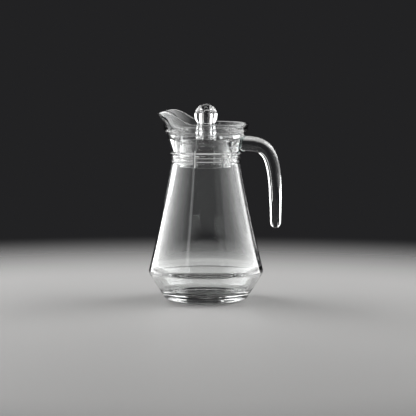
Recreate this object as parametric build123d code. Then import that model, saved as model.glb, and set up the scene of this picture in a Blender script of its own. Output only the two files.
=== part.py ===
from build123d import *
from math import atan, cos, pi, radians, sin, sqrt, tan
import os

# A table jug for water or juice: a pressed glass body on a foot ring, with a pouring lip and a
# solid glass hook handle fused to its collar, and a clear plastic lid that drops into its neck.
# Millimetres, +Z up. The origin is at the middle of the foot, on the table.
# The handle is towards +X and the pouring lip towards -X.

# Heights of the body's stretches, stacked from the table up
BELLY_Z = 31.6          # table to the corner where the foot cone meets the flank
FLANK_H = 120.8         # belly corner to the foot of the neck
NECK_H = 15.0           # the stretch that carries the three beads
COLLAR_H = 23.2         # the cone above the beads
BAND_H = 8.4            # the plain band under the rim

# Outside radii
FOOT_R = 45.1           # foot cone where it would meet the table
BELLY_R = 64.8          # the belly corner before it is rounded
NECK_R = 38.1           # the bottom of the grooves between the beads
NECK_FOOT_STEP = 0.6    # the flank's top stands this much outside the grooves
COLLAR_TOP_R = 46.1
BAND_STEP = 0.7         # the rim band stands this much proud of the collar
RIM_FLARE = 1.4         # the rim stands this much outside the foot of the band
FLANK_SAG = 1.0         # the flank's middle curves in this far from a straight cone

# Outside roundings
FOOT_ROUND = 7.0
BELLY_ROUND = 6.0
RIM_ROUND = 1.0

# The beads: height above the foot of the neck, how proud each is, and half its width
BEADS = ((3.6, 1.2, 1.7), (7.7, 0.8, 1.5), (12.8, 2.4, 2.0))

# Glass thickness
FLANK_WALL = 3.6
COLLAR_WALL = 3.1
RIM_WALL = 2.8
CONE_WALL = 5.0         # along the foot cone
FLOOR_T = 6.5           # at the middle of the bottom
FLOOR_DISH = 1.2        # the floor's edge above its middle

# Foot ring and the hollow inside it
FOOT_RING_W = 3.6
PUNT_H = 3.6

# Roundings inside the body
INNER_BELLY_ROUND = 14.0
INNER_FLOOR_ROUND = 8.0
INNER_NECK_ROUND = 12.0

# Ledge inside the collar, on which the lid sits
LEDGE_RISE = 15.6       # above the foot of the collar
LEDGE_W = 2.4

# Pouring lip
SPOUT_OUT = 6.7         # its tip outside the rim
SPOUT_TIP_RISE = 10.0   # its tip above the rim
SPOUT_CREST_RISE = 14.2 # the highest stretch of its edge above the rim
SPOUT_CREST_X = 40.0    # where that stretch lies
SPOUT_SHOULDER_X = 25.0 # where the edge is half way up
SPOUT_START_X = 8.0     # where the edge leaves the level rim
SPOUT_HALF_ANGLE = 52.0 # half the angle that the nose takes out of the round rim
SPOUT_SHARPNESS = 4     # how narrow the nose is drawn
SPOUT_ROOT_DROP = 2.0   # the nose starts to leave the round this far below the rim
SPOUT_CURVE = 1.5       # how late the nose swings out

# Handle
HANDLE_REACH = 78.3     # middle line of the hanging leg from the jug's middle line
HANDLE_RISE = 8.9       # its root above the foot of the collar
HANDLE_DROP = 94.4      # root's middle line down to the tip
HANDLE_BEND_X = 35.0    # the two arms of the bend, and how far each pulls the curve
HANDLE_BEND_Z = 80.0
HANDLE_PULL_X = 29.0
HANDLE_PULL_Z = 69.0
HANDLE_ROOT_T = 17.0    # thickness seen from the side
HANDLE_ROOT_W = 18.0    # width seen from the end
HANDLE_TIP_T = 11.6     # the tip is round
HANDLE_TAPER = 1.3      # above 1 it thins more towards the tip than at the root
HANDLE_BURY = 8.0       # length cut away by the collar

# Lid: plate
LID_GAP = 0.5           # plate to the inside of the collar
PLATE_T = 3.2
PLATE_RIM_H = 5.0
PLATE_RIM_W = 2.0
PLATE_ROUND = 0.8
KNOB_HOLE_R = 8.0

# Lid: knob
KNOB_BALL_R = 12.9
KNOB_STEM_R = 10.0
KNOB_FOOT_R = 11.6
KNOB_STEM_H = 21.3      # top of the plate to the middle of the ball
KNOB_WAIST_ROUND = 2.5
KNOB_CORE_R = 5.6
KNOB_CORE_RISE = 6.0    # the core's flat end above the middle of the ball
KNOB_TAIL = 1.2         # the knob's tail stands out this much under the plate

# Lid: plug
PLUG_GAP = 4.8          # plug to the inside of the neck
PLUG_WALL = 1.8
PLUG_DEPTH = 33.0
RUN_GAP = 0.3           # running clearance between plug and plate
SPIGOT_DEPTH = 8.0
SPIGOT_WALL = 1.8
SNAP_PROUD = 0.7        # the snap ring on the spigot
SNAP_HALF_W = 1.2
SLOT_COUNT = 6
SLOT_W = 2.2
SLOT_L = 20.0
SLOT_TURN = 14.0        # the first slot from the pouring lip, in degrees

# Levels
NECK_Z = BELLY_Z + FLANK_H
COLLAR_Z = NECK_Z + NECK_H
BAND_Z = COLLAR_Z + COLLAR_H
RIM_Z = BAND_Z + BAND_H
LEDGE_Z = COLLAR_Z + LEDGE_RISE
SPOUT_TIP_Z = RIM_Z + SPOUT_TIP_RISE
SPOUT_CREST_Z = RIM_Z + SPOUT_CREST_RISE
SPOUT_ROOT_Z = RIM_Z - SPOUT_ROOT_DROP
FLOOR_Z = PUNT_H + FLOOR_T
HANDLE_ROOT_Z = COLLAR_Z + HANDLE_RISE
HANDLE_TIP_Z = HANDLE_ROOT_Z - HANDLE_DROP
PLATE_TOP_Z = LEDGE_Z + PLATE_T
KNOB_BALL_Z = PLATE_TOP_Z + KNOB_STEM_H
PLUG_TOP_Z = LEDGE_Z - RUN_GAP
PLUG_BOTTOM_Z = LEDGE_Z - PLUG_DEPTH
SNAP_Z = LEDGE_Z - SPIGOT_DEPTH / 2

# Slopes, as radius gained for each millimetre of height
CONE_SLOPE = (BELLY_R - FOOT_R) / BELLY_Z
FLANK_SLOPE = (NECK_R + NECK_FOOT_STEP - BELLY_R) / FLANK_H
COLLAR_SLOPE = (COLLAR_TOP_R - NECK_R) / COLLAR_H
BAND_R = COLLAR_TOP_R + BAND_STEP
RIM_R = BAND_R + RIM_FLARE
RIM_SLOPE = RIM_FLARE / BAND_H
SPOUT_REACH = RIM_R + SPOUT_OUT

# Radii that follow from the walls and the clearances
NECK_IN_R = NECK_R - FLANK_WALL
LEDGE_OUT_R = NECK_R + COLLAR_SLOPE * LEDGE_RISE - COLLAR_WALL
LEDGE_IN_R = LEDGE_OUT_R - LEDGE_W
PLATE_R = LEDGE_OUT_R - LID_GAP
PLUG_R = NECK_IN_R - PLUG_GAP
PLUG_IN_R = PLUG_R - PLUG_WALL
SPIGOT_R = PLUG_IN_R - RUN_GAP


def sagged(start, end, sag):
    """An arc between two (radius, height) points whose middle lies sag nearer the middle line."""
    middle = ((start[0] + end[0]) / 2 - sag, (start[1] + end[1]) / 2)
    return ThreePointArc(start, middle, end)


def corner(sketch, radius, height):
    """The vertex of a half outline that lies nearest to a radius and a height."""
    return sketch.vertices().sort_by_distance((radius, height, 0))[0]


def outside():
    """The outside of the jug from the table to the top of the collar, solid inside."""
    neck_foot = (NECK_R + NECK_FOOT_STEP, NECK_Z)
    with BuildPart() as solid:
        with BuildSketch(Plane.XZ) as outline:
            with BuildLine():
                Polyline((0, BAND_Z), (0, 0), (FOOT_R, 0), (BELLY_R, BELLY_Z))
                sagged((BELLY_R, BELLY_Z), neck_foot, FLANK_SAG)
                last = neck_foot
                for rise, proud, half in BEADS:
                    low = (NECK_R, NECK_Z + rise - half)
                    high = (NECK_R, NECK_Z + rise + half)
                    Line(last, low)
                    ThreePointArc(low, (NECK_R + proud, NECK_Z + rise), high)
                    last = high
                Polyline(last, (NECK_R, COLLAR_Z), (COLLAR_TOP_R, BAND_Z), (0, BAND_Z))
            make_face()
            fillet(corner(outline, FOOT_R, 0), FOOT_ROUND)
            fillet(corner(outline, BELLY_R, BELLY_Z), BELLY_ROUND)
        revolve(axis=Axis.Z)
    return solid.part


def lip_outline(height, side, nose):
    """One level outline of the rim: round at the back, drawn out to a nose towards -X."""
    half = radians(SPOUT_HALF_ANGLE)
    steps = 12
    points = []
    for step in range(steps + 1):
        turn = half * (2 * step / steps - 1)
        swell = ((1 + cos(pi * turn / half)) / 2) ** SPOUT_SHARPNESS
        radius = side + (nose - side) * swell
        points.append((-radius * cos(turn), -radius * sin(turn)))
    with BuildSketch(Plane.XY.offset(height)) as level:
        with BuildLine():
            ThreePointArc(points[-1], (side, 0), points[0])
            Spline(*points, tangents=[(-sin(half), -cos(half)), (sin(half), -cos(half))])
        make_face()
    return level.sketch


def outer_side(height):
    """Radius of the rim band, which goes on widening at one slope above the rim."""
    return BAND_R + RIM_SLOPE * (height - BAND_Z)


def outer_nose(height):
    """Reach of the pouring lip at a height: it swings out of the round faster and faster."""
    if height <= SPOUT_ROOT_Z:
        return outer_side(height)
    swing = ((height - SPOUT_ROOT_Z) / (SPOUT_TIP_Z - SPOUT_ROOT_Z)) ** SPOUT_CURVE
    return outer_side(height) + (SPOUT_REACH - outer_side(SPOUT_TIP_Z)) * swing


def lip_levels():
    """Heights of the outlines that the rim band and the pouring lip are drawn through."""
    above = SPOUT_CREST_RISE + SPOUT_ROOT_DROP
    shares = (0.0, 0.2, 0.42, 0.66, 0.9, 1.2)
    return [SPOUT_ROOT_Z + above * share for share in shares]


def rim_blank():
    """Outside of the rim band and the pouring lip, solid and taller than the finished lip."""
    levels = [BAND_Z, (BAND_Z + SPOUT_ROOT_Z) / 2] + lip_levels()
    return loft([lip_outline(z, outer_side(z), outer_nose(z)) for z in levels])


def rim_hollow():
    """Space inside the collar above the ledge, the rim band and the pouring lip."""
    steps = 5
    root_in = outer_side(SPOUT_ROOT_Z) - RIM_WALL
    levels = []
    for step in range(steps):
        z = LEDGE_Z + (SPOUT_ROOT_Z - LEDGE_Z) * step / steps
        radius = LEDGE_OUT_R + (root_in - LEDGE_OUT_R) * step / steps
        levels.append(lip_outline(z, radius, radius))
    for z in lip_levels():
        levels.append(lip_outline(z, outer_side(z) - RIM_WALL, outer_nose(z) - RIM_WALL))
    return loft(levels)


def above_the_edge():
    """Everything above the rim: level at the back, rising over the pouring lip, seen from the side."""
    far = 2 * SPOUT_REACH
    top = RIM_Z + far
    half_way = (-SPOUT_SHOULDER_X, RIM_Z + SPOUT_CREST_RISE / 2)
    fall = (SPOUT_CREST_Z - SPOUT_TIP_Z) / (SPOUT_REACH - SPOUT_CREST_X)
    end = (-far, SPOUT_TIP_Z - 2 * fall * (far - SPOUT_REACH))
    tip = (-SPOUT_REACH, SPOUT_TIP_Z)
    with BuildPart() as block:
        with BuildSketch(Plane.XZ):
            with BuildLine():
                start = (-SPOUT_START_X, RIM_Z)
                crest = (-SPOUT_CREST_X, SPOUT_CREST_Z)
                Spline(start, half_way, crest, tip, tangents=[(-1, 0), (-1, -2 * fall)])
                Polyline(tip, end, (-far, top), (far, top), (far, RIM_Z), start)
            make_face()
        extrude(amount=far, both=True)
    return block.part


def inside():
    """The room for the drink, from the floor to the ledge in the collar."""
    cone_in = FOOT_R - CONE_WALL * sqrt(1 + CONE_SLOPE ** 2)
    flank_in = BELLY_R - FLANK_SLOPE * BELLY_Z - FLANK_WALL * sqrt(1 + FLANK_SLOPE ** 2)
    bend_z = (flank_in - cone_in) / (CONE_SLOPE - FLANK_SLOPE)
    bend = (cone_in + CONE_SLOPE * bend_z, bend_z)
    floor_edge = (cone_in + CONE_SLOPE * (FLOOR_Z + FLOOR_DISH), FLOOR_Z + FLOOR_DISH)
    neck_foot = (NECK_IN_R, NECK_Z + BEADS[0][0])
    neck_head = (NECK_IN_R, COLLAR_Z - BEADS[0][2])
    with BuildPart() as room:
        with BuildSketch(Plane.XZ) as outline:
            with BuildLine():
                Line((0, LEDGE_Z), (0, FLOOR_Z))
                Line((0, FLOOR_Z), floor_edge)
                Line(floor_edge, bend)
                sagged(bend, neck_foot, FLANK_SAG)
                Polyline(neck_foot, neck_head, (LEDGE_IN_R, LEDGE_Z), (0, LEDGE_Z))
            make_face()
            fillet(corner(outline, *floor_edge), INNER_FLOOR_ROUND)
            fillet(corner(outline, *bend), INNER_BELLY_ROUND)
            fillet(corner(outline, *neck_head), INNER_NECK_ROUND)
        revolve(axis=Axis.Z)
    return room.part


def punt():
    """The shallow hollow under the bottom, inside the foot ring."""
    lean = atan(1 / CONE_SLOPE)
    contact_r = FOOT_R - FOOT_ROUND * tan(lean / 2)
    ring_in = contact_r - FOOT_RING_W
    dome_r = (ring_in ** 2 + PUNT_H ** 2) / (2 * PUNT_H)
    side = (ring_in * 0.5, PUNT_H - dome_r + sqrt(dome_r ** 2 - (ring_in * 0.5) ** 2))
    with BuildPart() as hollow:
        with BuildSketch(Plane.XZ):
            with BuildLine():
                ThreePointArc((0, PUNT_H), side, (ring_in, 0))
                Polyline((ring_in, 0), (0, 0), (0, PUNT_H))
            make_face()
        revolve(axis=Axis.Z)
    return hollow.part


def jug_body(shell):
    """The pressed glass vessel: foot ring, flank, three beads, collar, rim band and pouring lip."""
    glass = shell + rim_blank() - above_the_edge()
    glass = glass - inside() - rim_hollow() - punt()
    rim = [e for e in glass.edges() if e.bounding_box().min.Z > RIM_Z - RIM_ROUND / 2]
    return fillet(rim, RIM_ROUND)


def handle(shell):
    """The solid glass hook: it leaves the collar level, bends down and hangs free."""
    root_x = NECK_R + COLLAR_SLOPE * HANDLE_RISE - HANDLE_BURY
    bend_start = HANDLE_REACH - HANDLE_BEND_X
    leg_z = HANDLE_ROOT_Z - HANDLE_BEND_Z
    tip_r = HANDLE_TIP_T / 2
    tip_z = HANDLE_TIP_Z + tip_r
    with BuildLine(Plane.XZ) as path:
        Line((root_x, HANDLE_ROOT_Z), (bend_start, HANDLE_ROOT_Z))
        Bezier(
            (bend_start, HANDLE_ROOT_Z),
            (bend_start + HANDLE_PULL_X, HANDLE_ROOT_Z),
            (HANDLE_REACH, leg_z + HANDLE_PULL_Z),
            (HANDLE_REACH, leg_z),
        )
        Line((HANDLE_REACH, leg_z), (HANDLE_REACH, tip_z))
    middle = path.wire()
    stations = 20
    sections = []
    for station in range(stations):
        share = station / (stations - 1)
        thinned = share ** HANDLE_TAPER
        thickness = HANDLE_ROOT_T + (HANDLE_TIP_T - HANDLE_ROOT_T) * thinned
        width = HANDLE_ROOT_W + (HANDLE_TIP_T - HANDLE_ROOT_W) * thinned
        across = Plane(middle @ share, x_dir=(0, 1, 0), z_dir=middle % share)
        sections.append(across * Ellipse(width / 2, thickness / 2))
    bar = loft(sections)
    cap = Pos(HANDLE_REACH, 0, tip_z) * Sphere(tip_r)
    return bar + cap - shell


def lid_plate():
    """The round cover: a dish that sits on the ledge, with a spigot under it for the plug."""
    spigot_in = SPIGOT_R - SPIGOT_WALL
    spigot_z = LEDGE_Z - SPIGOT_DEPTH
    with BuildPart() as plate:
        with BuildSketch(Plane.XZ) as outline:
            with BuildLine():
                Polyline(
                    (KNOB_HOLE_R, PLATE_TOP_Z),
                    (KNOB_HOLE_R, LEDGE_Z),
                    (spigot_in, LEDGE_Z),
                    (spigot_in, spigot_z),
                    (SPIGOT_R, spigot_z),
                    (SPIGOT_R, SNAP_Z - SNAP_HALF_W),
                    (SPIGOT_R + SNAP_PROUD, SNAP_Z),
                    (SPIGOT_R, SNAP_Z + SNAP_HALF_W),
                    (SPIGOT_R, LEDGE_Z),
                    (PLATE_R, LEDGE_Z),
                    (PLATE_R, LEDGE_Z + PLATE_RIM_H),
                    (PLATE_R - PLATE_RIM_W, LEDGE_Z + PLATE_RIM_H),
                    (PLATE_R - PLATE_RIM_W, PLATE_TOP_Z),
                    close=True,
                )
            make_face()
            fillet(corner(outline, PLATE_R, LEDGE_Z + PLATE_RIM_H), PLATE_ROUND)
            fillet(corner(outline, PLATE_R - PLATE_RIM_W, LEDGE_Z + PLATE_RIM_H), PLATE_ROUND)
            fillet(corner(outline, PLATE_R - PLATE_RIM_W, PLATE_TOP_Z), PLATE_ROUND)
        revolve(axis=Axis.Z)
    return plate.part


def lid_knob():
    """The ball on its stem: hollow from below, its tail pressed through the plate."""
    waist_z = KNOB_BALL_Z - sqrt(KNOB_BALL_R ** 2 - KNOB_STEM_R ** 2)
    tail_z = LEDGE_Z - KNOB_TAIL
    core_z = KNOB_BALL_Z + KNOB_CORE_RISE
    with BuildPart() as knob:
        with BuildSketch(Plane.XZ) as outline:
            with BuildLine():
                Polyline((0, KNOB_BALL_Z + KNOB_BALL_R), (0, core_z), (KNOB_CORE_R, core_z))
                Polyline((KNOB_CORE_R, core_z), (KNOB_CORE_R, tail_z), (KNOB_HOLE_R, tail_z))
                Polyline((KNOB_HOLE_R, tail_z), (KNOB_HOLE_R, PLATE_TOP_Z))
                Line((KNOB_HOLE_R, PLATE_TOP_Z), (KNOB_FOOT_R, PLATE_TOP_Z))
                Line((KNOB_FOOT_R, PLATE_TOP_Z), (KNOB_STEM_R, waist_z))
                ThreePointArc(
                    (KNOB_STEM_R, waist_z),
                    (KNOB_BALL_R, KNOB_BALL_Z),
                    (0, KNOB_BALL_Z + KNOB_BALL_R),
                )
            make_face()
            fillet(corner(outline, KNOB_STEM_R, waist_z), KNOB_WAIST_ROUND)
        revolve(axis=Axis.Z)
    return knob.part


def lid_plug():
    """The skirt that hangs in the neck, cut from below into spring fingers."""
    groove = SNAP_PROUD
    with BuildPart() as plug:
        with BuildSketch(Plane.XZ):
            with BuildLine():
                Polyline(
                    (PLUG_R, PLUG_TOP_Z),
                    (PLUG_R, PLUG_BOTTOM_Z),
                    (PLUG_IN_R, PLUG_BOTTOM_Z),
                    (PLUG_IN_R, SNAP_Z - SNAP_HALF_W),
                    (PLUG_IN_R + groove, SNAP_Z),
                    (PLUG_IN_R, SNAP_Z + SNAP_HALF_W),
                    (PLUG_IN_R, PLUG_TOP_Z),
                    close=True,
                )
            make_face()
        revolve(axis=Axis.Z)
        for slot in range(SLOT_COUNT):
            turn = 180 + SLOT_TURN + slot * 360 / SLOT_COUNT
            spot = Rot(0, 0, turn) * Pos(PLUG_R - PLUG_WALL / 2, 0, PLUG_BOTTOM_Z)
            with Locations(spot):
                Box(2 * PLUG_WALL, SLOT_W, 2 * SLOT_L, mode=Mode.SUBTRACT)
    return plug.part


shell = outside()
nodes = {
    "jug_body": jug_body(shell),
    "handle": handle(shell + rim_blank()),
    "lid_plate": lid_plate(),
    "lid_knob": lid_knob(),
    "lid_plug": lid_plug(),
}
os.makedirs("parts", exist_ok=True)
for name, solid in nodes.items():
    solid.label = name
    export_step(solid, f"parts/{name}.step")
    print(name, "solids", len(solid.solids()), "volume", round(solid.volume))
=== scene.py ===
import math

import bpy
import numpy as np
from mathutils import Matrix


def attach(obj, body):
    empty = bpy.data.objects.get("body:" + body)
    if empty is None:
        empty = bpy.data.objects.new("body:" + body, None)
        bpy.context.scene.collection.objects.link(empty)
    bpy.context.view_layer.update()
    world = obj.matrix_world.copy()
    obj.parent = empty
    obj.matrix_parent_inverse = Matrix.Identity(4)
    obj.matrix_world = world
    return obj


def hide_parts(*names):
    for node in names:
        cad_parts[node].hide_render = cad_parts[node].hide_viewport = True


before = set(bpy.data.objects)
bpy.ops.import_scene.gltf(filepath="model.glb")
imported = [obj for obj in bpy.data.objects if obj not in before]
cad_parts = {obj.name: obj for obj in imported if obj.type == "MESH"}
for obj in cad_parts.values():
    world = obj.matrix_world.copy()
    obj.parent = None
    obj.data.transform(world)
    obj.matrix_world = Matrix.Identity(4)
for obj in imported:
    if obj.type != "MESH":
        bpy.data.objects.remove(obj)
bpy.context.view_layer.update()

# The photograph's place: a long lens a little above the rim, six degrees round towards the handle.
# The picture is square, and the jug stands two of its 416 pixels left of the middle.
EYE_DISTANCE = 2.236
EYE_HEIGHT = 0.30633
EYE_TURN = math.radians(6.0)
EYE_PITCH = math.radians(5.1872)
PICTURE_PIXELS = 416
SHIFT_PIXELS = 2
FOCAL_PIXELS = 2000
SENSOR_MM = 36.0
eye = bpy.data.cameras.new("eye")
eye.sensor_width = SENSOR_MM
eye.lens = FOCAL_PIXELS / PICTURE_PIXELS * SENSOR_MM
eye.shift_x = SHIFT_PIXELS / PICTURE_PIXELS
eye_object = bpy.data.objects.new("eye", eye)
eye_object.location = (
    EYE_DISTANCE * math.sin(EYE_TURN), -EYE_DISTANCE * math.cos(EYE_TURN), EYE_HEIGHT)
eye_object.rotation_euler = (math.pi / 2 - EYE_PITCH, 0.0, EYE_TURN)
bpy.context.collection.objects.link(eye_object)
bpy.context.scene.camera = eye_object

# The glass vessel. One pressing of clear soda-lime glass, blown out below the neck: foot ring,
# belly, long flank, three beads, a flared collar with a ledge for the lid, and a fire-polished
# rim drawn out to a pouring lip. All the sizes of the pieces are in millimetres.
MM = 0.001
BELLY_Z, NECK_Z, COLLAR_Z, BAND_Z, RIM_Z = 31.6, 152.4, 167.4, 190.6, 199.0
FOOT_R, BELLY_R, NECK_FOOT_R, NECK_R = 45.1, 64.8, 38.7, 38.1
COLLAR_TOP_R, BAND_R, RIM_R = 46.1, 46.8, 48.2
FOOT_ROUND, BELLY_ROUND = 7.0, 6.0
FLANK_SAG = 1.0
BEADS = ((156.0, 1.2, 1.7), (160.1, 0.8, 1.5), (165.2, 2.4, 2.0))  # middle, how proud, half height
BAND_STEP_HALF_H = 0.25
PUNT_H, PUNT_R = 3.6, 37.7
CONE_WALL, FLANK_WALL, RIM_WALL = 5.0, 3.6, 2.8
FLOOR_Z, FLOOR_EDGE_Z, FLOOR_ROUND, BELLY_IN_ROUND = 10.1, 11.3, 8.0, 14.0
NECK_IN_R, NECK_IN_LOW_Z, NECK_IN_LOW_ROUND = 34.5, 156.0, 4.0
NECK_IN_TOP_Z, NECK_IN_TOP_ROUND = 165.7, 12.0
LEDGE_Z, LEDGE_OUT_R, LEDGE_IN_R = 183.0, 40.38, 37.98
LIP_FOOT_Z = 191.8
LIP_ROOT_Z, LIP_TIP_Z, LIP_REACH = 197.0, 209.0, 54.9
LIP_HALF_ANGLE = math.radians(52.0)
LIP_SHARPNESS, LIP_CURVE = 4, 1.5
LIP_EDGE = ((8.0, 0.0, 0.0), (25.0, 7.1, 0.638), (40.0, 14.2, 0.124), (54.9, 10.0, -0.564))
RIM_HALF_ROUND = 1.3
GLASS_STEP = 3.0
turns = np.linspace(0, 2 * math.pi, 288, endpoint=False)


def rounded(corners, steps=10):
    """A half outline through (radius, height, rounding) corners. Each rounding is an arc that
    touches both sides: p(u) = c + ((a-c) sin((1-u)w) + (b-c) sin(uw)) / sin(w), u from 0 to 1.
    An arc has a point every 0.4 mm or so, between 4 steps and the most that is asked for."""
    line = [np.array(corners[0][:2], float)]
    for before, here, after in zip(corners, corners[1:], corners[2:]):
        spot = np.array(here[:2], float)
        radius = here[2]
        come = spot - np.array(before[:2], float)
        go = np.array(after[:2], float) - spot
        come /= np.linalg.norm(come)
        go /= np.linalg.norm(go)
        turn = math.acos(float(np.clip(come @ go, -1, 1)))
        if radius == 0 or turn < 0.002:
            line.append(spot)
            continue
        reach = radius * math.tan(turn / 2)
        start, end = spot - come * reach, spot + go * reach
        middle = spot + (go - come) / np.linalg.norm(go - come) * radius / math.cos(turn / 2)
        parts = min(steps, max(4, math.ceil(radius * turn / 0.4)))
        share = np.linspace(0, 1, parts + 1)[:, None]
        line += list(middle + (
            (start - middle) * np.sin((1 - share) * turn)
            + (end - middle) * np.sin(share * turn)) / math.sin(turn))
    line.append(np.array(corners[-1][:2], float))
    return np.array(line)


def sagged(start, end, sag, steps=8):
    """Corners along a stretch that bows towards the middle line: r = line - 4 sag u (1 - u)."""
    share = np.linspace(0, 1, steps + 1)[1:-1]
    radius = start[0] + (end[0] - start[0]) * share - 4 * sag * share * (1 - share)
    height = start[1] + (end[1] - start[1]) * share
    return [(r, z, 0.0) for r, z in zip(radius, height)]


def filled(line, step):
    """The same outline with points added wherever two lie more than step apart."""
    out = [line[:1]]
    for a, b in zip(line, line[1:]):
        parts = max(1, math.ceil(np.linalg.norm(b - a) / step))
        out.append(a + (b - a) * np.arange(1, parts + 1)[:, None] / parts)
    return np.vstack(out)


def turned(radius, height):
    """A surface round the jug's middle line, x = r cos t, y = r sin t, z = h. Radius and height
    have a row for each point of the outline, and may change along it from turn to turn."""
    return np.stack([radius * np.cos(turns), radius * np.sin(turns), height + 0 * turns], -1)


def moulded(name, points, *blocks):
    """A piece from its points and blocks of faces, smooth but for edges of over 35 degrees."""
    mesh = bpy.data.meshes.new(name)
    mesh.from_pydata((points * MM).tolist(), [], [face for block in blocks for face in block.tolist()])
    mesh.polygons.foreach_set("use_smooth", [True] * len(mesh.polygons))
    mesh.set_sharp_from_angle(angle=math.radians(35))
    piece = bpy.data.objects.new(name, mesh)
    bpy.context.collection.objects.link(piece)
    return piece


def skin(name, grid, ends=False):
    """A closed piece over a grid of points, rows by columns. Columns close on each other. The rows
    do too, or with ends the first and the last are closed by a fan round the row's mean point."""
    rows, columns = grid.shape[:2]
    points = grid.reshape(-1, 3)
    row = np.arange(rows - 1 if ends else rows)[:, None]
    here = np.arange(columns)
    beside = (here + 1) % columns
    low, high = row * columns, (row + 1) % rows * columns
    blocks = [np.stack([low + here, low + beside, high + beside, high + here], -1).reshape(-1, 4)]
    if ends:
        points = np.vstack([points, grid[0].mean(0), grid[-1].mean(0)])
        base, crown = np.full(columns, rows * columns), np.full(columns, rows * columns + 1)
        top = (rows - 1) * columns
        blocks += [np.stack([base, beside, here], -1), np.stack([crown, top + here, top + beside], -1)]
    return moulded(name, points, *blocks)


def side_at(z):
    """Radius of the rim band at a height: r = BAND_R + slope (z - BAND_Z)."""
    return BAND_R + (RIM_R - BAND_R) / (RIM_Z - BAND_Z) * (z - BAND_Z)


def lip_at(z):
    """Radius of the lip: r = side + (reach - side at the tip) swing^curve swell, with swing from 0
    at the lip's root to 1 at its tip, and swell from 0 beside the lip to 1 in its middle."""
    swing = np.clip((z - LIP_ROOT_Z) / (LIP_TIP_Z - LIP_ROOT_Z), 0, None) ** LIP_CURVE
    return side_at(z) + (LIP_REACH - side_at(LIP_TIP_Z)) * swing * swell


def edge_rise(forward):
    """Height of the edge above the rim, at a distance towards the lip: cubic Hermite pieces
    through LIP_EDGE, whose entries are distance, height and slope, and straight past the last."""
    rise = np.zeros_like(forward)
    for (a, y0, m0), (b, y1, m1) in zip(LIP_EDGE, LIP_EDGE[1:]):
        h = b - a
        u = np.clip((forward - a) / h, 0, 1)
        piece = ((1 + 2 * u) * (1 - u) ** 2 * y0 + u * (1 - u) ** 2 * h * m0
                 + u * u * (3 - 2 * u) * y1 + u * u * (u - 1) * h * m1)
        rise = np.where(forward > a, piece, rise)
    end, height, slope = LIP_EDGE[-1]
    return np.where(forward > end, height + slope * (forward - end), rise)


def edge_height(wall):
    """Height at which the lip, wall millimetres inside its outer face, meets the edge: z = rim +
    rise of the lip's own reach at z, found by going round that until it stays."""
    z = np.full_like(swell, RIM_Z)
    for _ in range(60):
        z = RIM_Z + edge_rise((lip_at(z) - wall) * towards_lip)
    return z


cone_slope = (BELLY_R - FOOT_R) / BELLY_Z
flank_slope = (NECK_FOOT_R - BELLY_R) / (NECK_Z - BELLY_Z)
dome_r = (PUNT_R ** 2 + PUNT_H ** 2) / (2 * PUNT_H)
across = PUNT_R * np.array([0.2, 0.4, 0.6, 0.8, 0.93])
outside = [(0, PUNT_H, 0)]
outside += [(r, PUNT_H - dome_r + math.sqrt(dome_r ** 2 - r ** 2), 0) for r in across]
outside += [(PUNT_R, 0, 1.0), (FOOT_R, 0, FOOT_ROUND), (BELLY_R, BELLY_Z, BELLY_ROUND)]
outside += sagged((BELLY_R, BELLY_Z), (NECK_FOOT_R, NECK_Z), FLANK_SAG)
outside += [(NECK_FOOT_R, NECK_Z, 0.6)]
for middle, proud, half in BEADS:
    outside.append((NECK_R, middle - half, 0.35))
    outside += [(NECK_R + proud * (1 - a * a), middle + half * a, 0) for a in np.linspace(-1, 1, 9)[1:-1]]
    outside.append((NECK_R, middle + half, 0.35))
outside += [(NECK_R, COLLAR_Z, 0.5), (COLLAR_TOP_R, BAND_Z - BAND_STEP_HALF_H, 0.2),
            (BAND_R, BAND_Z + BAND_STEP_HALF_H, 0.3), (side_at(LIP_FOOT_Z), LIP_FOOT_Z, 0)]
outside = filled(rounded(outside), GLASS_STEP)

cone_in = FOOT_R - CONE_WALL * math.sqrt(1 + cone_slope ** 2)
flank_in = BELLY_R - flank_slope * BELLY_Z - FLANK_WALL * math.sqrt(1 + flank_slope ** 2)
bend_z = (flank_in - cone_in) / (cone_slope - flank_slope)
bend_r = cone_in + cone_slope * bend_z
inside = [(side_at(LIP_ROOT_Z) - RIM_WALL, LIP_ROOT_Z, 0),
          (LEDGE_OUT_R, LEDGE_Z, 0.5), (LEDGE_IN_R, LEDGE_Z, 0.6),
          (NECK_IN_R, NECK_IN_TOP_Z, NECK_IN_TOP_ROUND), (NECK_IN_R, NECK_IN_LOW_Z, NECK_IN_LOW_ROUND)]
inside += sagged((NECK_IN_R, NECK_IN_LOW_Z), (bend_r, bend_z), FLANK_SAG)
inside += [(bend_r, bend_z, BELLY_IN_ROUND),
           (cone_in + cone_slope * FLOOR_EDGE_Z, FLOOR_EDGE_Z, FLOOR_ROUND), (0, FLOOR_Z, 0)]
inside = filled(rounded(inside, 14), GLASS_STEP)

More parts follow.
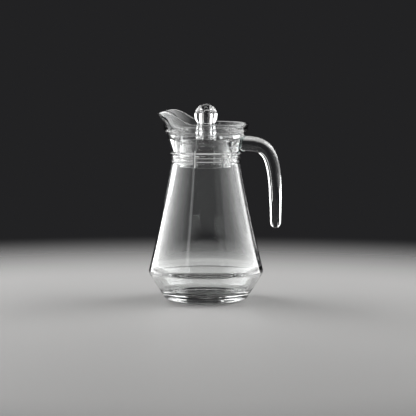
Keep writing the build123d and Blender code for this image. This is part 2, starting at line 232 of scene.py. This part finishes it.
# Round the rim, at an angle a from the lip's middle: swell = ((1 + cos(pi a / half angle)) / 2)^4
# inside the lip's half angle and 0 outside it, and towards_lip = cos a.
from_lip = (turns + 1e-9) % (2 * math.pi) - math.pi
swell = np.where(abs(from_lip) < LIP_HALF_ANGLE,
                 ((1 + np.cos(math.pi * from_lip / LIP_HALF_ANGLE)) / 2) ** LIP_SHARPNESS, 0)
towards_lip = np.cos(from_lip)
out_top = edge_height(0) - RIM_HALF_ROUND
in_top = edge_height(RIM_WALL) - RIM_HALF_ROUND
out_r, in_r = lip_at(out_top), lip_at(in_top) - RIM_WALL
up = np.linspace(0, 1, 13)[:, None]
lip_out_z = LIP_FOOT_Z + (out_top - LIP_FOOT_Z) * up[1:]
lip_in_z = LIP_ROOT_Z + (in_top - LIP_ROOT_Z) * up[:0:-1]
over = math.pi * up[1:-1]
vessel = skin("glass_vessel", np.vstack([
    turned(*outside.T[..., None])[1:],
    turned(lip_at(lip_out_z), lip_out_z),
    turned((out_r + in_r) / 2 + (out_r - in_r) / 2 * np.cos(over),
           (out_top + in_top) / 2 + (out_top - in_top) / 2 * np.cos(over)
           + RIM_HALF_ROUND * np.sin(over)),
    turned(lip_at(lip_in_z) - RIM_WALL, lip_in_z),
    turned(*inside.T[..., None])[:-1]]), ends=True)


def clear(name, ior, colour, wear, ripple, scale, detail):
    """A clear moulded material with its own tint. A noise of so many waves a metre in each
    direction gives the mould's faint ripple, as a bump height in millimetres, and the wear: the
    roughness runs from its first value to its second as the noise goes from 0.35 to 0.75."""
    material = bpy.data.materials.new(name)
    material.use_nodes = True
    nodes, links = material.node_tree.nodes, material.node_tree.links
    shader = nodes["Principled BSDF"]
    shader.inputs["Base Color"].default_value = (*colour, 1)
    shader.inputs["Transmission Weight"].default_value = 1.0
    shader.inputs["IOR"].default_value = ior
    where = nodes.new("ShaderNodeTexCoord")
    stretch = nodes.new("ShaderNodeMapping")
    stretch.inputs["Scale"].default_value = scale
    links.new(where.outputs["Object"], stretch.inputs["Vector"])
    noise = nodes.new("ShaderNodeTexNoise")
    noise.inputs["Scale"].default_value = 1.0
    noise.inputs["Detail"].default_value = detail
    links.new(stretch.outputs["Vector"], noise.inputs["Vector"])
    bump = nodes.new("ShaderNodeBump")
    bump.inputs["Strength"].default_value = 1.0
    bump.inputs["Distance"].default_value = ripple * MM
    links.new(noise.outputs["Fac"], bump.inputs["Height"])
    links.new(bump.outputs["Normal"], shader.inputs["Normal"])
    rubbed = nodes.new("ShaderNodeMapRange")
    rubbed.inputs["From Min"].default_value = 0.35
    rubbed.inputs["From Max"].default_value = 0.75
    rubbed.inputs["To Min"].default_value = wear[0]
    rubbed.inputs["To Max"].default_value = wear[1]
    links.new(noise.outputs["Fac"], rubbed.inputs["Value"])
    links.new(rubbed.outputs["Result"], shader.inputs["Roughness"])
    return material


GLASS_IOR = 1.52
GLASS_TINT = (0.985, 0.995, 0.992)
GLASS_WEAR = (0.0, 0.002)
vessel.data.materials.append(
    clear("body_glass", GLASS_IOR, GLASS_TINT, GLASS_WEAR, ripple=0.05, scale=(30, 30, 6), detail=1))
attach(vessel, "jug")
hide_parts("jug_body")

# The handle. A solid bar of the same glass, stuck hot to the collar, bent down and left to hang
# free; it thins from its root to its rounded tip. The fused seam at its root looks faintly green.
HANDLE_ROOT_Z, HANDLE_TIP_Z, HANDLE_REACH = 176.3, 81.9, 78.3
BURIED_X, BEND_START_X, BEND_END_Z = 38.0, 43.3, 96.3
BEND_PULL_X, BEND_PULL_Z = 29.0, 69.0
ROOT_T, ROOT_W, TIP_R = 17.0, 18.0, 5.8
TAPER = 1.3
SUNK = 0.8
SEAM_TINT, SEAM_DEPTH = (0.62, 0.86, 0.84), 1.5

collar_slope = (COLLAR_TOP_R - NECK_R) / (BAND_Z - COLLAR_Z)
tip_z = HANDLE_TIP_Z + TIP_R
# The bend is a cubic Bezier curve, drawn out by BEND_PULL_X and BEND_PULL_Z at its two ends.
bend = np.array([(BEND_START_X, HANDLE_ROOT_Z), (BEND_START_X + BEND_PULL_X, HANDLE_ROOT_Z),
                 (HANDLE_REACH, BEND_END_Z + BEND_PULL_Z), (HANDLE_REACH, BEND_END_Z)])
u = np.linspace(0, 1, 400)[:, None]
weights = np.hstack([(1 - u) ** 3, 3 * u * (1 - u) ** 2, 3 * u * u * (1 - u), u ** 3])
middle_line = np.vstack([(BURIED_X, HANDLE_ROOT_Z), weights @ bend, (HANDLE_REACH, tip_z)])
run = np.concatenate([[0], np.cumsum(np.linalg.norm(np.diff(middle_line, axis=0), axis=1))])
along = np.linspace(0, run[-1], 120)
path = np.stack([np.interp(along, run, middle_line[:, k]) for k in (0, 1)], -1)
ahead = np.gradient(path, axis=0)
ahead /= np.linalg.norm(ahead, axis=1)[:, None]
share = (along / run[-1])[:, None] ** TAPER
half_t = ROOT_T / 2 + (TIP_R - ROOT_T / 2) * share
half_w = ROOT_W / 2 + (TIP_R - ROOT_W / 2) * share
# Each ring is an ellipse across the path: p + n (t/2) cos w, and -(w/2) sin w to the side.
w = np.linspace(0, 2 * math.pi, 72, endpoint=False)
rings = np.stack([path[:, :1] - ahead[:, 1:] * half_t * np.cos(w), -half_w * np.sin(w),
                  path[:, 1:] + ahead[:, :1] * half_t * np.cos(w)], -1)
# The first ring lies on the collar's cone, sunk a little, and rings that would cut it are left out.
collar_r = NECK_R + collar_slope * (rings[0, :, 2] - COLLAR_Z) - SUNK
rings[0, :, 0] = np.sqrt(collar_r ** 2 - rings[0, :, 1] ** 2)
clear_of_root = rings[:, :, 0].min(1) > rings[0, :, 0].max() - 2
clear_of_root[0] = True
round_off = np.linspace(0, math.pi / 2, 10)[1:-1, None]
tip_r = TIP_R * np.cos(round_off)
tip_rings = np.stack([HANDLE_REACH + tip_r * np.cos(w), -tip_r * np.sin(w),
                      tip_z - TIP_R * np.sin(round_off) + 0 * w], -1)
hook = skin("glass_handle", np.vstack([rings[clear_of_root], tip_rings]), ends=True)


def outward(material):
    """Adds to a material the point of the surface, and the way out from the jug's middle line to
    it: (x, y, 0) in Object coordinates. Gives back the nodes, the links, the coordinates' sockets
    and the socket of the way out."""
    nodes, links = material.node_tree.nodes, material.node_tree.links
    where = nodes.new("ShaderNodeTexCoord")
    level = nodes.new("ShaderNodeVectorMath")
    level.operation = "MULTIPLY"
    level.inputs[1].default_value = (1.0, 1.0, 0.0)
    links.new(where.outputs["Object"], level.inputs[0])
    return nodes, links, where.outputs, level.outputs["Vector"]


handle_glass = clear(
    "handle_glass", GLASS_IOR, GLASS_TINT, GLASS_WEAR, ripple=0.015, scale=(30, 30, 12), detail=1)
nodes, links, point, way_out = outward(handle_glass)
radius = nodes.new("ShaderNodeVectorMath")
radius.operation = "LENGTH"
split = nodes.new("ShaderNodeSeparateXYZ")
cone = nodes.new("ShaderNodeMath")
cone.operation = "MULTIPLY_ADD"
cone.inputs[1].default_value = collar_slope
cone.inputs[2].default_value = (NECK_R - collar_slope * COLLAR_Z) * MM
proud = nodes.new("ShaderNodeMath")
proud.operation = "SUBTRACT"
seam = nodes.new("ShaderNodeMapRange")
seam.inputs["From Min"].default_value = 0.0
seam.inputs["From Max"].default_value = SEAM_DEPTH * MM
tint = nodes.new("ShaderNodeMix")
tint.data_type = "RGBA"
tint.inputs["A"].default_value = (*SEAM_TINT, 1)
tint.inputs["B"].default_value = (*GLASS_TINT, 1)
links.new(way_out, radius.inputs[0])
links.new(point["Object"], split.inputs["Vector"])
links.new(split.outputs["Z"], cone.inputs[0])
links.new(radius.outputs["Value"], proud.inputs[0])
links.new(cone.outputs["Value"], proud.inputs[1])
links.new(proud.outputs["Value"], seam.inputs["Value"])
links.new(seam.outputs["Result"], tint.inputs["Factor"])
links.new(tint.outputs["Result"], nodes["Principled BSDF"].inputs["Base Color"])
hook.data.materials.append(handle_glass)
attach(hook, "jug")
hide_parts("handle")

# The cover plate of the lid: clear moulded plastic, a shallow dish that lies on the ledge in the
# collar, with a spigot under it that the plug snaps on.
PLATE_R, PLATE_RIM_IN_R, HOLE_R = 39.88, 37.88, 8.0
PLATE_TOP_Z, PLATE_RIM_Z = 186.2, 188.0
SPIGOT_R, SPIGOT_IN_R, SPIGOT_END_Z = 27.6, 25.8, 175.0
SNAP_PROUD, SNAP_LOW_Z, SNAP_Z, SNAP_HIGH_Z = 0.7, 177.8, 179.0, 180.2
PLASTIC_IOR = 1.49
PLASTIC_TINT = (0.99, 0.99, 0.99)
PLASTIC_WEAR = (0.0, 0.005)
hole_middle = (HOLE_R, (LEDGE_Z + PLATE_TOP_Z) / 2, 0)
plate_line = rounded([
    hole_middle, (HOLE_R, LEDGE_Z, 0.3),
    (SPIGOT_IN_R, LEDGE_Z, 0.5), (SPIGOT_IN_R, SPIGOT_END_Z, 0.4), (SPIGOT_R, SPIGOT_END_Z, 0.4),
    (SPIGOT_R, SNAP_LOW_Z, 0.2), (SPIGOT_R + SNAP_PROUD, SNAP_Z, 0.5), (SPIGOT_R, SNAP_HIGH_Z, 0.2),
    (SPIGOT_R, LEDGE_Z, 0.5), (PLATE_R, LEDGE_Z, 0.6),
    (PLATE_R, PLATE_RIM_Z, 0.9), (PLATE_RIM_IN_R, PLATE_RIM_Z, 0.9),
    (PLATE_RIM_IN_R, PLATE_TOP_Z, 0.6), (HOLE_R, PLATE_TOP_Z, 0.3), hole_middle], 5)
plate = skin("lid_cover_plate", turned(*filled(plate_line[:-1], 3.0).T[..., None]))
plate.data.materials.append(clear(
    "lid_plastic", PLASTIC_IOR, PLASTIC_TINT, PLASTIC_WEAR, ripple=0.01, scale=(60, 60, 60), detail=3))
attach(plate, "lid_cap")
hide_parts("lid_plate")

# The knob: a clear plastic ball on a short stem, moulded hollow from below, with its tail pressed
# through the plate's middle hole.
BALL_Z, BALL_R, STEM_R, STEM_FOOT_R = 207.5, 12.9, 10.0, 11.6
CORE_R, CORE_TOP_Z, TAIL_Z = 5.6, 213.5, 181.8
waist_z = BALL_Z - math.sqrt(BALL_R ** 2 - STEM_R ** 2)
stem_line = rounded([
    (0, CORE_TOP_Z, 0), (CORE_R, CORE_TOP_Z, 0.8), (CORE_R, TAIL_Z, 0.3), (HOLE_R, TAIL_Z, 0.3),
    (HOLE_R, PLATE_TOP_Z, 0.2), (STEM_FOOT_R, PLATE_TOP_Z, 0.3), (STEM_R, waist_z, 0)], 5)
rise = np.linspace(math.asin((waist_z - BALL_Z) / BALL_R), math.pi / 2, 30)[1:-1]
ball_line = np.stack([BALL_R * np.cos(rise), BALL_Z + BALL_R * np.sin(rise)], -1)
knob_line = filled(np.vstack([stem_line[1:], ball_line]), 2.0)
knob = skin("lid_knob_ball", turned(*knob_line.T[..., None]), ends=True)
knob.data.materials.append(clear(
    "knob_plastic", PLASTIC_IOR, PLASTIC_TINT, PLASTIC_WEAR, ripple=0.01, scale=(70, 70, 70), detail=3))
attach(knob, "lid_cap")
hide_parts("lid_knob")

# The plug: a thin moulded skirt of clear plastic that hangs in the neck, snapped on the spigot.
# Six slots cut from below leave spring fingers. The slots' cut faces and the skirt's end are matt,
# as they come from the mould's edges, so they show as pale lines in the clear wall.
PLUG_R, PLUG_IN_R, PLUG_TOP_Z, PLUG_BOTTOM_Z = 29.7, 27.9, 182.7, 150.0
SLOT_HALF, SLOT_TOP_Z, SLOT_COUNT, SLOT_TURN = 1.1, 170.0, 6, math.radians(194.0)
FINGER_PARTS = 20
EDGE_ROUND = 0.3
MATT = 0.5


def slotted(name, lines, heights, outer, inner, kept):
    """A tube wall of cells between upright lines and heights: cell (j, i) is there where
    kept[j, i]. A corner is (r cos t, r sin t, z), with r from outer or inner at its height. A cell
    has an outer and an inner face, and an end face where the cell next to it is cut away."""
    radius = np.stack([outer, inner])[:, None]
    grid = np.stack(np.broadcast_arrays(
        radius * np.cos(lines)[:, None], radius * np.sin(lines)[:, None], heights), -1)
    corner = np.arange(grid[..., 0].size).reshape(grid.shape[:3])
    beside = np.roll(corner, -1, 1)
    a, b, c, d = corner[..., :-1], beside[..., :-1], beside[..., 1:], corner[..., 1:]
    none = np.zeros((len(lines), 1), bool)
    neighbours = ((b, a, np.hstack([none, kept[:, :-1]])), (d, c, np.hstack([kept[:, 1:], none])),
                  (a, d, np.roll(kept, 1, 0)), (c, b, np.roll(kept, -1, 0)))
    faces = [np.stack([a[0], b[0], c[0], d[0]], -1)[kept], np.stack([d[1], c[1], b[1], a[1]], -1)[kept]]
    faces += [np.stack([p[0], q[0], q[1], p[1]], -1)[kept & ~there] for p, q, there in neighbours]
    used, faces = np.unique(np.vstack(faces), return_inverse=True)
    return moulded(name, grid.reshape(-1, 3)[used], faces.reshape(-1, 4))


slot_turn = math.asin(SLOT_HALF / PLUG_R)
finger_step = (2 * math.pi / SLOT_COUNT - 2 * slot_turn) / FINGER_PARTS
from_slot = np.concatenate(
    [[-slot_turn, 0, slot_turn], slot_turn + finger_step * np.arange(1, FINGER_PARTS)])
slots = SLOT_TURN + 2 * math.pi / SLOT_COUNT * np.arange(SLOT_COUNT)
in_slot = np.tile(from_slot < slot_turn, SLOT_COUNT)
# Heights without a name of their own only keep the cells near square.
heights = np.array([PLUG_BOTTOM_Z, 155, 160, 165, SLOT_TOP_Z, 174,
                    SNAP_LOW_Z, SNAP_Z, SNAP_HIGH_Z, PLUG_TOP_Z])
kept = ~(in_slot[:, None] & (heights[:-1] < SLOT_TOP_Z))
plug = slotted("lid_plug_skirt", (slots[:, None] + from_slot).ravel(), heights,
               np.full(len(heights), PLUG_R), PLUG_IN_R + SNAP_PROUD * (heights == SNAP_Z), kept)
soften = plug.modifiers.new("moulded_edges", "BEVEL")
soften.width, soften.segments = EDGE_ROUND * MM, 2
soften.limit_method, soften.angle_limit = "ANGLE", math.radians(40)

plug_plastic = clear("plug_plastic", PLASTIC_IOR, (0.985, 0.985, 0.985), (0.0, 0.01),
                     ripple=0.01, scale=(60, 60, 30), detail=3)
nodes, links, point, way_out = outward(plug_plastic)
straight_out = nodes.new("ShaderNodeVectorMath")
straight_out.operation = "NORMALIZE"
facing = nodes.new("ShaderNodeVectorMath")
facing.operation = "DOT_PRODUCT"
size = nodes.new("ShaderNodeMath")
size.operation = "ABSOLUTE"
matt = nodes.new("ShaderNodeMapRange")
matt.inputs["From Min"].default_value = 0.5
matt.inputs["From Max"].default_value = 0.8
matt.inputs["To Min"].default_value = MATT
matt.inputs["To Max"].default_value = 0.0
links.new(way_out, straight_out.inputs[0])
links.new(straight_out.outputs["Vector"], facing.inputs[0])
links.new(point["Normal"], facing.inputs[1])
links.new(facing.outputs["Value"], size.inputs[0])
links.new(size.outputs["Value"], matt.inputs["Value"])
links.new(matt.outputs["Result"], nodes["Principled BSDF"].inputs["Roughness"])
plug.data.materials.append(plug_plastic)
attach(plug, "lid_skirt")
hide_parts("lid_plug")

# The floor: a plain pale board, which fades into a plain grey surround round the jug. Its sizes
# and those of the lamps are in metres.
FLOOR_HALF = 4.0
FLOOR_TINT = (0.4, 0.396, 0.392)
FLOOR_ROUGHNESS = 0.55
FADE_MIDDLE, FADE_START, FADE_END = (0.0, -0.2, 0.0), 0.4, 0.9
SURROUND = (0.016, 0.016, 0.017)
floor_mesh = bpy.data.meshes.new("floor")
floor_mesh.from_pydata([(x * FLOOR_HALF, y * FLOOR_HALF, 0) for x, y in (
    (-1, -1), (1, -1), (1, 1), (-1, 1))], [], [(0, 1, 2, 3)])
floor = bpy.data.objects.new("floor", floor_mesh)
bpy.context.collection.objects.link(floor)
paint = bpy.data.materials.new("pale_floor")
paint.use_nodes = True
nodes, links = paint.node_tree.nodes, paint.node_tree.links
board = nodes["Principled BSDF"]
board.inputs["Base Color"].default_value = (*FLOOR_TINT, 1)
board.inputs["Roughness"].default_value = FLOOR_ROUGHNESS
place = nodes.new("ShaderNodeTexCoord")
reach = nodes.new("ShaderNodeVectorMath")
reach.operation = "DISTANCE"
reach.inputs[1].default_value = FADE_MIDDLE
fade = nodes.new("ShaderNodeMapRange")
fade.interpolation_type = "SMOOTHSTEP"
fade.inputs["From Min"].default_value = FADE_START
fade.inputs["From Max"].default_value = FADE_END
nothing = nodes.new("ShaderNodeBsdfTransparent")
mixed = nodes.new("ShaderNodeMixShader")
links.new(place.outputs["Object"], reach.inputs[0])
links.new(reach.outputs["Value"], fade.inputs["Value"])
links.new(fade.outputs["Result"], mixed.inputs["Fac"])
links.new(board.outputs["BSDF"], mixed.inputs[1])
links.new(nothing.outputs["BSDF"], mixed.inputs[2])
links.new(mixed.outputs["Shader"], nodes["Material Output"].inputs["Surface"])
floor_mesh.materials.append(paint)

world = bpy.data.worlds.new("studio")
bpy.context.scene.world = world
world.use_nodes = True
world.node_tree.nodes["Background"].inputs["Color"].default_value = (*SURROUND, 1)
world.node_tree.nodes["Background"].inputs["Strength"].default_value = 1.0

# The lamps: a tall soft box on each side, brightest at its far end, so that the clear walls carry
# long soft streaks of light; a narrow strip behind each, for the bright line along each outline;
# and a small box overhead. A level is a share of the lamp's face and the light there.
BOX_NEAR, BOX_FAR, BOX_HIGH, BOX_WATTS = (1.25, -2.16), (0.96, 1.2), 2.0, 68
STRIP_NEAR, STRIP_FAR, STRIP_HIGH, STRIP_WATTS = (0.85, 2.05), (0.75, 2.09), 1.5, 0.45
LAMPS_LOW = 0.02
TOP_SIZE, TOP_HEIGHT, TOP_WATTS = 0.4, 1.3, 1.5
LEVELS_UP = ((0.05, 1.7), (0.07, 0.9), (0.2, 1.0), (0.22, 1.2), (0.3, 1.2), (0.4, 1.2), (0.5, 1.7))
LEFT_LEVELS = (
    (0.03, 0.0), (0.08, 0.3), (0.17, 0.36), (0.22, 0.03), (0.3, 0.05), (0.4, 0.15), (0.55, 0.36),
    (0.64, 0.6), (0.72, 0.85), (0.8, 1.0))
RIGHT_LEVELS = (
    (0.12, 0.0), (0.14, 0.05), (0.38, 0.07), (0.4, 0.14), (0.55, 0.34), (0.64, 0.58), (0.72, 0.85),
    (0.8, 1.0))
EVEN = ((0.0, 1.0), (1.0, 1.0))


def graded(tree, across_face, levels):
    """Light that follows levels, pairs of (share, level), along one direction of the lamp's face."""
    ramp = tree.nodes.new("ShaderNodeValToRGB")
    points = ramp.color_ramp.elements
    for _ in levels[2:]:
        points.new(0.5)
    for point, (share, level) in zip(points, levels):
        point.position = share
        point.color = (level, level, level, 1)
    tree.links.new(across_face, ramp.inputs["Fac"])
    return ramp.outputs["Color"]


def soft_box(name, side, near, far, high, watts, levels):
    """An upright soft box between two points of the floor plan, on the jug's left for a side of -1
    and its right for 1. Its light is levels from the near end to the far one, times LEVELS_UP."""
    lamp = bpy.data.lights.new(name, "AREA")
    lamp.shape = "RECTANGLE"
    near, far = np.array(near) * (side, 1), np.array(far) * (side, 1)
    run = far - near
    lamp.size, lamp.size_y, lamp.energy = float(np.hypot(*run)), high - LAMPS_LOW, watts
    box = bpy.data.objects.new(name, lamp)
    box.location = (*((near + far) / 2), (LAMPS_LOW + high) / 2)
    box.rotation_euler = (math.pi / 2, 0, math.atan2(run[0] * side, -run[1] * side) - math.pi / 2)
    box.visible_camera = False
    bpy.context.collection.objects.link(box)
    lamp.use_nodes = True
    tree = lamp.node_tree
    spot = tree.nodes.new("ShaderNodeNewGeometry")
    split = tree.nodes.new("ShaderNodeSeparateXYZ")
    tree.links.new(spot.outputs["Parametric"], split.inputs["Vector"])
    along = sorted((share if side > 0 else 1 - share, level) for share, level in levels)
    blend = tree.nodes.new("ShaderNodeMath")
    blend.operation = "MULTIPLY"
    tree.links.new(graded(tree, split.outputs["X"], along), blend.inputs[0])
    tree.links.new(graded(tree, split.outputs["Y"], LEVELS_UP), blend.inputs[1])
    tree.links.new(blend.outputs["Value"], tree.nodes["Emission"].inputs["Strength"])


soft_box("left_box", -1, BOX_NEAR, BOX_FAR, BOX_HIGH, BOX_WATTS, LEFT_LEVELS)
soft_box("right_box", 1, BOX_NEAR, BOX_FAR, BOX_HIGH, BOX_WATTS, RIGHT_LEVELS)
soft_box("left_strip", -1, STRIP_NEAR, STRIP_FAR, STRIP_HIGH, STRIP_WATTS, EVEN)
soft_box("right_strip", 1, STRIP_NEAR, STRIP_FAR, STRIP_HIGH, STRIP_WATTS, EVEN)
top = bpy.data.lights.new("top_box", "AREA")
top.shape, top.size, top.size_y, top.energy = "RECTANGLE", TOP_SIZE, TOP_SIZE, TOP_WATTS
top_object = bpy.data.objects.new("top_box", top)
top_object.location = (0, 0, TOP_HEIGHT)
top_object.visible_camera = False
bpy.context.collection.objects.link(top_object)

view = bpy.context.scene.view_settings
view.view_transform = "Standard"
